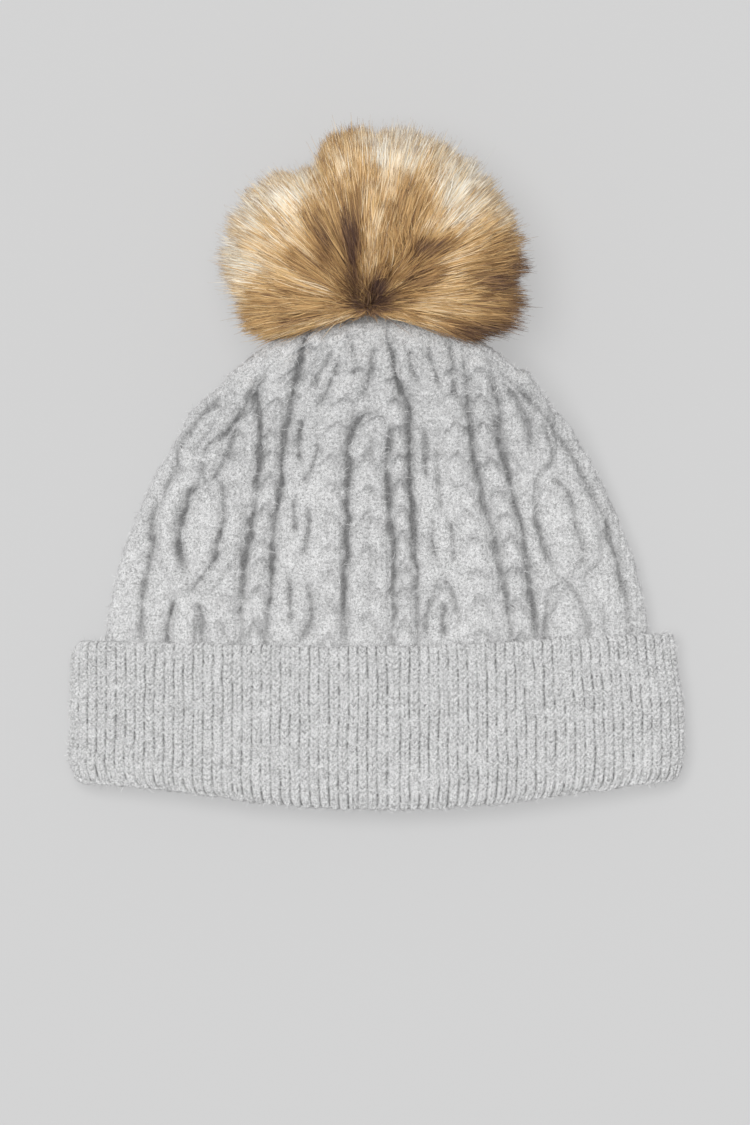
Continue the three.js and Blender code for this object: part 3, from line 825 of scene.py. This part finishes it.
# patches of colour on the pom: x, y, size across, size along, shade from 0 (dark) to 1 (ivory), strength
FUR_PATCHES = [
    # ivory, along the left and over the top
    (-47, 108, 12, 9, 1.0, 4.0), (-57, 94, 9, 11, 1.0, 3.5), (-41, 94, 8, 6, 0.88, 1.2),
    (-54, 81, 9, 8, 0.97, 2.6), (-35, 113, 9, 7, 1.0, 3.5), (-60, 70, 7, 8, 0.86, 1.5),
    (7, 126, 13, 9, 1.0, 5.5), (24, 122, 13, 8, 1.0, 5.5), (37, 112, 10, 7, 0.93, 4.5),
    (33, 105, 8, 4, 0.94, 2.5), (46, 102, 8, 7, 0.84, 3.0), (27, 95, 8, 3.2, 0.90, 1.6),
    # golden tan
    (-12, 113, 7, 12, 0.56, 2.2), (-16, 127, 6, 7, 0.50, 2.6), (43, 72, 10, 12, 0.47, 2.0),
    (31, 78, 8, 5, 0.60, 1.2), (52, 88, 6, 7, 0.60, 1.4), (7, 88, 5, 14, 0.48, 1.0),
    (-34, 74, 12, 9, 0.55, 1.0), (-28, 62, 14, 5, 0.56, 1.2), (-47, 56, 9, 6, 0.52, 1.0),
    (24, 60, 12, 6, 0.60, 0.8), (-4.5, 80, 2.2, 14, 0.66, 1.0), (-48, 68, 6, 6, 0.76, 0.9),
    # browns; those along the lower right rim are dark-tipped fur and partly painted shade on the pom's
    # shaded side
    (-35, 100, 4.5, 6, 0.42, 1.3), (18, 113, 6, 3.2, 0.38, 1.9), (17, 101, 4.5, 5, 0.38, 1.2),
    (20, 84.5, 7, 2.0, 0.20, 1.3), (14, 73, 4, 4, 0.36, 0.6), (-10, 86, 3.2, 10, 0.15, 2.0),
    (-20, 85, 2.2, 6, 0.16, 1.3), (-13, 78, 2, 10, 0.46, 0.9), (-3, 66, 6, 5, 0.10, 2.0),
    # from here on: dark fur tips with painted shade along the lower right rim
    (56, 66, 8, 14, 0.24, 2.2), (50, 54, 10, 7, 0.20, 1.8), (59, 72, 5, 13, 0.05, 3.4),
    (54, 56, 7, 6, 0.02, 3.6), (43, 51, 8, 3.5, 0.06, 2.8)]


def fur_shade(place):
    weight = np.full(len(place), 0.10)
    total = 0.54 * weight
    for x, y, wide, tall, shade, strength in FUR_PATCHES:
        share = strength * np.exp(-((place[:, 0] - x) / wide) ** 2 - ((place[:, 1] - y) / tall) ** 2)
        weight, total = weight + share, total + share * shade
    return total / weight


def fur_material(name, tip):
    """Shade across u, root to tip up v. Both come from the mesh's own uv."""
    material, tree, shader = new_material(name)
    split = strand_uv(tree)
    coat = colour_ramp(tree, split, "X", [
        (0.0, (0.095, 0.050, 0.040)), (0.2, (0.25, 0.140, 0.074)), (0.45, (0.58, 0.350, 0.145)),
        (0.62, (0.80, 0.55, 0.255)), (0.8, (1.0, 0.83, 0.57)), (1.0, (1.0, 0.96, 0.86))])
    along = colour_ramp(tree, split, "Y", [
        (0.0, (0.68, 0.62, 0.58)), (0.35, (1.0, 0.99, 0.98)), (0.80, grey(1.0)), (0.88, grey(1.0)),
        (1.0, tip)])
    both = multiplied(tree, coat.outputs["Color"], along.outputs["Color"])
    tree.links.new(both, shader.inputs["Base Color"])
    set_sockets(shader, 0.55, 0.3)
    return material


def clumped(rng, strands, leaders, pull):
    """Draws strands towards the nearest of a few leading strands, the more so at their tips."""
    start, bend, tip, direction = strands
    lead_start, lead_bend, lead_tip, lead_direction = leaders
    nearest = np.empty(len(tip), dtype=int)
    for k in range(0, len(tip), 4000):
        nearest[k:k + 4000] = np.argmax(direction[k:k + 4000] @ lead_direction.T, axis=1)
    pull = (pull * rng.uniform(0.3, 1, len(tip)))[:, None]
    return (start + (lead_start[nearest] - start) * pull * 0.3,
            bend + (lead_bend[nearest] - bend) * pull * 0.6,
            tip + (lead_tip[nearest] - tip) * pull, nearest)


TUFTS = 560
# name, strands, share of the way out, shortest, longest, width, pull to the tuft, looseness, dark tips
COATS = [("pom_fur_under", 22000, 0.91, 18, 30, 0.42, 0.35, 1.2, False),
         ("pom_fur_guard_1", 26000, 0.96, 24, 42, 0.30, 0.70, 1.1, False),
         ("pom_fur_guard_2", 24000, 0.985, 26, 48, 0.24, 0.88, 0.9, True),
         ("pom_fur_stray", 10000, 0.995, 18, 40, 0.20, 0.40, 2.2, True)]


def build_pom():
    rng = np.random.default_rng(7)
    leaders = pom_strands(rng, TUFTS, rng.uniform(0.93, 1.035, TUFTS), rng.uniform(24, 46, TUFTS))
    leader_shade = rng.normal(size=TUFTS) * 0.085
    soft_hair = fur_material("soft_hair", (0.86, 0.80, 0.72))
    guard_hair = fur_material("guard_hair", (0.28, 0.19, 0.13))
    for name, count, reach, short, long, width, pull, loose, dark_tips in COATS:
        strands = pom_strands(rng, count, reach, rng.uniform(short, long, count))
        direction = strands[3]
        start, bend, tip, nearest = clumped(rng, strands, leaders, pull)
        for axis in range(3):
            bend[:, axis] += 2.4 * noise(bend, 11.0, 71 + axis) + noise(bend, 4.0, 74 + axis)
        bend += rng.normal(size=bend.shape) * loose
        tip += rng.normal(size=tip.shape) * loose
        # hairs at the front reach out over the crown
        over = smooth(-tip[:, 1], -68, -56) * np.minimum(rng.exponential(1.6, count), 4)
        over *= smooth(np.abs(tip[:, 0]), 12, 24)
        tip[:, :2] += unit(tip[:, :2] - WHORL) * over[:, None]
        for place in (start, bend, tip):
            place[:, 2] = np.maximum(place[:, 2], 0.7 + rng.uniform(0, 1.5, count))
        lines = curve_points(start, bend, tip, 5)
        own_shade = leader_shade[nearest] + rng.normal(size=count) * 0.09
        own_shade = own_shade - 0.3 * (rng.random(count) < 0.10)
        local = fur_shade(lines.reshape(-1, 3)).reshape(count, -1)
        shade = mix(local, local[:, 3:4], 0.4) + own_shade[:, None]
        outward = direction + rng.normal(size=direction.shape) * 0.1 + (0, 0, 0.6)
        add_ribbons(name, lines, outward, width * rng.uniform(0.6, 1.4, count),
                    rng.normal(size=count) * 0.5, np.clip(shade, 0.01, 0.99),
                    guard_hair if dark_tips else soft_hair, "pom", "pom_fur", "fur_pile")
    build_pom_body(soft_hair)


def build_pom_body(material):
    """The dense short undercoat that the strands stand in."""
    rows, columns = 120, 200
    polar = np.linspace(0.001, math.pi - 0.001, rows)[:, None]
    turn = circle(columns)[None, :]
    direction = np.stack([np.sin(polar) * np.cos(turn), np.sin(polar) * np.sin(turn),
                          np.cos(polar) + 0 * turn], axis=2).reshape(-1, 3)
    rough = 0.83 + 0.03 * noise(direction * 50, 7, 31)
    points = pom_place(direction, rough)
    shade = fur_shade(points) * 0.85
    uv = np.stack([np.clip(shade, 0.02, 0.98), np.full(len(points), 0.3)], axis=1)
    add_piece("pom_undercoat", points, grid_faces(rows, columns, wrap_columns=True)[:, ::-1],
              material, "pom", "pom_fur", "fur_pile", uv)


# ---- the small pieces inside ----

def thread_material(name, light, dark, scale):
    """Spun or pressed fibre: two shades of one colour, mixed finely."""
    material, tree, shader = new_material(name)
    fibres = noise_texture(tree, Scale=scale, Detail=3.0)
    ramp = colour_ramp(tree, fibres, "Fac", [(0.3, dark), (0.7, light)])
    join(tree, ramp, "Color", shader, "Base Color")
    set_sockets(shader, 0.9, 0.2, Sheen_Weight=0.15)
    bumped(tree, shader, fibres.outputs["Fac"], 0.5, 0.0003)
    return material


def satin_material():
    """Woven satin: fine ribs that make its gloss uneven."""
    material, tree, shader = new_material("label_satin")
    ribs = add_node(tree, "TexWave", bands_direction="Y", Scale=900.0, Distortion=1.0)
    join(tree, add_node(tree, "TexCoord"), "Object", ribs, "Vector")
    ramp = colour_ramp(tree, ribs, "Color", [(0.0, (0.80, 0.80, 0.79)), (1.0, (0.90, 0.90, 0.89))])
    join(tree, ramp, "Color", shader, "Base Color")
    set_sockets(shader, 0.38)
    bumped(tree, shader, ribs.outputs["Color"], 0.2, 0.0001)
    return material


def metal_material(name, colour):
    """Plated metal with faint rubbing marks."""
    material, tree, shader = new_material(name)
    marks = noise_texture(tree, Scale=700.0, Detail=4.0)
    dull = tuple(0.85 * c for c in colour)
    tint = colour_ramp(tree, marks, "Fac", [(0.35, dull), (0.6, colour)])
    gloss = colour_ramp(tree, marks, "Fac", [(0.3, grey(0.20)), (0.7, grey(0.36))])
    join(tree, tint, "Color", shader, "Base Color")
    join(tree, gloss, "Color", shader, "Roughness")
    shader.inputs["Metallic"].default_value = 1.0
    return material


def sweep(paths, radius, sides=8, closed=True):
    """Points and faces of round tubes along paths, each an array of places."""
    all_points, all_faces, first = [], [], 0
    turn = circle(sides)
    for path in paths:
        path = np.asarray(path, dtype=float)
        if closed:
            along = np.roll(path, -1, axis=0) - np.roll(path, 1, axis=0)
        else:
            along = np.gradient(path, axis=0)
        along = unit(along)
        side = unit(np.cross(along, np.where(np.abs(along[:, 2:3]) < 0.8, (0, 0, 1), (1, 0, 0))))
        lift = np.cross(side, along)
        size = np.full(len(path), radius)
        if not closed:
            size[[0, -1]] = radius * 0.2
        ring = side[:, None] * np.cos(turn)[None, :, None] + lift[:, None] * np.sin(turn)[None, :, None]
        points = path[:, None] + ring * size[:, None, None]
        all_points.append(points.reshape(-1, 3))
        all_faces.append(first + grid_faces(len(path), sides, wrap_rows=closed, wrap_columns=True))
        first += points.shape[0] * sides
    return np.concatenate(all_points), np.concatenate(all_faces)


def add_sweep(name, paths, radius, material, body, node, slot, closed=True):
    points, faces = sweep(paths, radius, closed=closed)
    add_piece(name, points, faces, material, body, node, slot)


def twisted_ring(y, radius, lay, plies, twists):
    """The plies of a thread that runs once round the snap's axis."""
    t = circle(40 * twists // plies)
    paths = []
    for k in range(plies):
        a = t * twists + k * 2 * math.pi / plies
        r = radius + lay * np.cos(a)
        paths.append(np.stack([r * np.cos(t), y + lay * np.sin(a), AXIS_Z + r * np.sin(t)], axis=1))
    return paths


def lathe_piece(name, profile, material, body, node, slot, rough=0.0, around=96):
    """A closed profile of (radius, y) turned about the snap's axis, with an uneven fibre surface."""
    profile = np.asarray(profile, dtype=float)
    a = circle(around)
    radius, y = profile[:, :1], profile[:, 1:]
    points = np.stack([radius * np.cos(a), y + 0 * a, AXIS_Z + radius * np.sin(a)], axis=2).reshape(-1, 3)
    for axis in range(3):
        points[:, axis] += rough * noise(points + 50 * axis, 1.1, 60 + axis)
    faces = grid_faces(len(profile), around, wrap_rows=True, wrap_columns=True)
    add_piece(name, points, faces, material, body, node, slot)


def disc_profile(inner, outer, low, high, steps=10):
    """A flat ring's section with rounded edges."""
    half = (high - low) / 2
    arc = np.linspace(-math.pi / 2, math.pi / 2, 7)
    middle = (high + low) / 2
    outside = [(outer - half + half * math.cos(a), middle + half * math.sin(a)) for a in arc]
    inside = [(inner + half - half * math.cos(a), middle - half * math.sin(a)) for a in arc]
    across = np.linspace(inner + half, outer - half, steps)[1:-1]
    return ([(r, low) for r in across] + outside + [(r, high) for r in across[::-1]] + inside)[::-1]


def build_snap_neighbours():
    """Felt, threads, backing and stuffing round the press stud. Returns the thread's material."""
    felt_grey = thread_material("felt_grey", (0.20, 0.20, 0.21), (0.10, 0.10, 0.105), 1500.0)
    thread = thread_material("sewing_thread", (0.72, 0.72, 0.72), (0.46, 0.46, 0.46), 2500.0)
    tan_knit = thread_material("backing_knit", (0.42, 0.31, 0.20), (0.22, 0.155, 0.10), 1300.0)
    fibre = thread_material("fibre_fill", (0.92, 0.92, 0.91), (0.70, 0.70, 0.69), 700.0)
    for node, body in (("crown_washer", "hat"), ("pom_base_disc", "pom")):
        low, high = box_mm(node)
        hole = box_mm("snap_post")[1][0] * 0.5
        profile = disc_profile(hole, high[0] - 0.1, low[1] + 0.05, high[1] - 0.05, 16)
        lathe_piece(node + "_felt", profile, felt_grey, body, node, "felt", 0.06)
    for name, node, body, inset, lay, plies, twists in (
            ("gather_thread_plies", "crown_gather_thread", "hat", 0.7, 0.28, 2, 24),
            ("drawstring_plies", "pom_drawstring", "pom", 0.75, 0.32, 3, 36)):
        low, high = box_mm(node)
        ring = twisted_ring((low[1] + high[1]) / 2, high[0] - inset, lay, plies, twists)
        add_sweep(name, ring, 0.30, thread, body, node, "thread")
    centre = (core_low + core_high) / 2
    radius = core_high[0]
    neck = math.asin(0.55)
    polar = np.linspace(math.pi - neck, 0.02, 90)
    knit = radius - 0.35 + 0.22 * np.cos(polar * radius)
    middle = centre[1] + 1.2
    outer = [(k * math.sin(p), min(middle + k * math.cos(p), core_high[1] - 0.1))
             for p, k in zip(polar, knit)]
    inside = radius - 1.2
    inner = [(inside * math.sin(p), middle + inside * math.cos(p)) for p in polar[::-6]]
    lathe_piece("backing_ball", (outer + inner)[::-1], tan_knit, "pom", "pom_backing", "fur_backing", 0.15)
    low, high = box_mm("pom_stuffing")
    middle = (low[1] + high[1]) / 2
    wide, tall = high[0] - 0.4, high[1] - middle - 0.4
    ball = [(max(0.05, wide * math.sin(p)), middle + tall * math.cos(p))
            for p in np.linspace(math.pi, 0, 60)]
    core = [(0.04, y) for y in np.linspace(high[1] - 0.8, low[1] + 0.8, 4)]
    lathe_piece("stuffing_wad", (ball + core)[::-1], fibre, "pom", "pom_stuffing", "fibre_fill", 0.35)
    return thread


def inner_wall(x, y, thick_below):
    """Height of the upper wall's inside at a place, so much of the wall's thickness down."""
    w, h = body_width(y) - thick_below, body_height(y) - thick_below
    power = SECTION_POWER
    return middle_z(y) + h * (1 - min(1, (abs(x) / w)) ** power) ** (1 / power)


def build_seams(thread):
    """The overlocked seam inside the upper wall, and the linking row round the rib."""
    for node, depth, slot, short in (("crown_seam", CROWN_THICK, "cable_knit", 2),
                                     ("cuff_seam", RIB_THICK, "rib_knit", 1)):
        low, high = box_mm(node)
        middle = (low[0] + high[0]) / 2
        y = np.arange(low[1] + 4, high[1] - short, 0.45)
        sag = np.array([sag_at(v) for v in y])
        roof = np.array([inner_wall(middle, v, depth) for v in y]) - 1.25
        phase = np.arange(len(y))
        swing = 1.1 * np.where(phase % 4 < 2, 1, -1)
        zigzag = np.stack([middle + swing, y - sag, roof + 0.2 * (phase % 2)], axis=1)
        chain = roof - 0.1 + 0.12 * np.cos(phase * 1.9)
        edges = [np.stack([middle + side * 1.25 + 0 * y, y - sag, chain], axis=1) for side in (-1, 1)]
        add_sweep(node + "_overlock", [zigzag], 0.28, thread, "hat", node, slot, closed=False)
        add_sweep(node + "_chains", edges, 0.36, thread, "hat", node, slot, closed=False)
    low, high = box_mm("linking_seam")
    y = (low[1] + high[1]) / 2 + 1.6
    q = np.linspace(-2, 2, 1200, endpoint=False)
    row = tube_grid([(high[0] - 0.7, (high[2] - low[2]) / 2 - 0.5, y)], q)[0]
    row[:, 2] += (high[2] + low[2]) / 2 - (row[:, 2].max() + row[:, 2].min()) / 2
    loops = np.arange(len(q)) * 2 * math.pi / 6
    row[:, 1] += 0.55 * np.sin(loops)
    row[:, 2] += 0.22 * np.cos(loops)
    add_sweep("linking_row", [row], 0.3, thread, "hat", "linking_seam", "thread")


def build_label(thread):
    """A blank satin label that hangs from two bar tacks."""
    low, high = box_mm("care_label")
    columns, rows = 41, 61
    x = np.linspace(low[0] + 0.1, high[0] - 0.1, columns)[None, :]
    y = np.linspace(high[1] - 0.1, low[1] + 0.1, rows)[:, None]
    wave = 0.05 * np.sin(x * 0.5) * np.cos(y * 0.21) + 0 * x * y
    base = low[2] + 0.25
    top = np.stack([x + 0 * y, y + 0 * x, base + 0.12 + wave], axis=2)
    bottom = np.stack([x + 0 * y, y + 0 * x, base - 0.12 + wave], axis=2)[:, ::-1]
    points = np.concatenate([top, bottom], axis=1)
    faces = np.concatenate([grid_faces(rows, 2 * columns, wrap_columns=True), end_faces(rows, columns)])
    label = add_piece("care_label_satin", points.reshape(-1, 3), faces, satin_material(),
                      "hat", "care_label", "satin_label")
    for tack in ("label_tack_left", "label_tack_right"):
        low, high = box_mm(tack)
        y = np.linspace(low[1] + 0.3, high[1] - 0.3, 40)
        swing = np.where(np.arange(40) % 2, 1, -1) * ((high[0] - low[0]) / 2 - 0.14)
        path = np.stack([(low[0] + high[0]) / 2 + swing, y, (low[2] + high[2]) / 2 + 0 * y], axis=1)
        add_sweep(tack + "_stitches", [path], 0.13, thread, "hat", tack, "thread", closed=False)


def end_faces(rows, columns):
    """Close the two ends of a flattened tube whose columns go there and back."""
    c = np.arange(columns - 1)
    quads = np.stack([c, c + 1, 2 * columns - 2 - c, 2 * columns - 1 - c], axis=1)
    return np.concatenate([quads, quads[:, ::-1] + (rows - 1) * 2 * columns])


def dress_metal():
    """The press stud's own CAD parts, in plated metal."""
    nickel = metal_material("nickel_plate", (0.78, 0.76, 0.72))
    spring = metal_material("spring_steel", (0.62, 0.62, 0.63))
    for node in ("snap_post", "snap_stud", "snap_socket", "snap_cap"):
        frame["nodes"][node].material_slots[0].material = nickel
    frame["nodes"]["snap_ring"].material_slots[0].material = spring


# ---- the stage ----

TABLE_REACH = 30000.0  # half the width of the table
TABLE_GLOW = 0.36  # the table is lit from below too, which keeps its shadows pale
HORIZON = 0.64  # brightness of the room at its horizon, about that of the floor
ROOM_LIGHT = 0.37  # and overhead
KEY_FROM = (-0.42, 0.40, 3.5)
KEY_STRENGTH = 2.52
KEY_WIDTH = 0.55  # in radians: wide, so its shadows are soft
CAMERA_AIM = (-0.0008, -0.0368, 0.02)  # in metres, as the next two are
CAMERA_DISTANCE = 4.0
CAMERA_COVERS = 0.4426  # what the picture's long side takes in at that distance


def build_stage():
    """A plain pale table that goes on to the horizon."""
    material, tree, shader = new_material("floor_paper")
    grain = add_node(tree, "TexNoise", Scale=3.0, Detail=2.0)
    ramp = colour_ramp(tree, grain, "Fac", [(0.3, (0.248, 0.248, 0.249)), (0.7, (0.256, 0.256, 0.257))])
    join(tree, ramp, "Color", shader, "Base Color")
    set_sockets(shader, 0.9, 0.1, Emission_Color=(1, 1, 1, 1), Emission_Strength=TABLE_GLOW)
    corners = np.array([(-1, -1, 0), (1, -1, 0), (1, 1, 0), (-1, 1, 0)]) * TABLE_REACH
    floor = make_mesh("floor", corners, np.array([[0, 1, 2, 3]]), material)


def build_light():
    """One large soft light, high at the upper left, and a pale room that is brightest at its horizon."""
    world = bpy.data.worlds.new("studio")
    bpy.context.scene.world = world
    world.use_nodes = True
    tree = world.node_tree
    split = add_node(tree, "SeparateXYZ")
    join(tree, add_node(tree, "TexCoord"), "Generated", split, "Vector")
    walls = colour_ramp(tree, split, "Z", [
        (0.0, grey(HORIZON)), (0.10, grey(HORIZON)), (0.45, grey(ROOM_LIGHT))])
    join(tree, walls, "Color", tree.nodes["Background"], "Color")
    lamp = bpy.data.lights.new("key", "SUN")
    lamp.energy = KEY_STRENGTH
    lamp.angle = KEY_WIDTH
    key = bpy.data.objects.new("key", lamp)
    key.rotation_euler = (-Vector(KEY_FROM)).to_track_quat("-Z", "Y").to_euler()
    bpy.context.scene.collection.objects.link(key)


def build_camera():
    """Straight above, through a long lens, as a flat-lay is photographed."""
    data = bpy.data.cameras.new("camera")
    data.sensor_fit = "AUTO"
    data.sensor_width = 36
    data.lens = data.sensor_width * CAMERA_DISTANCE / CAMERA_COVERS
    data.clip_start = 0.1
    data.clip_end = 100
    camera = bpy.data.objects.new("camera", data)
    camera.location = Vector(CAMERA_AIM) + Vector((0, 0, CAMERA_DISTANCE))
    camera.rotation_euler = (0, 0, 0)
    bpy.context.scene.collection.objects.link(camera)
    bpy.context.scene.camera = camera


bpy.context.scene.view_settings.view_transform = "Standard"
build_camera()
build_stage()
build_light()
build_crown()
build_cuff()
build_pom()
seam_thread = build_snap_neighbours()
build_seams(seam_thread)
build_label(seam_thread)
dress_metal()
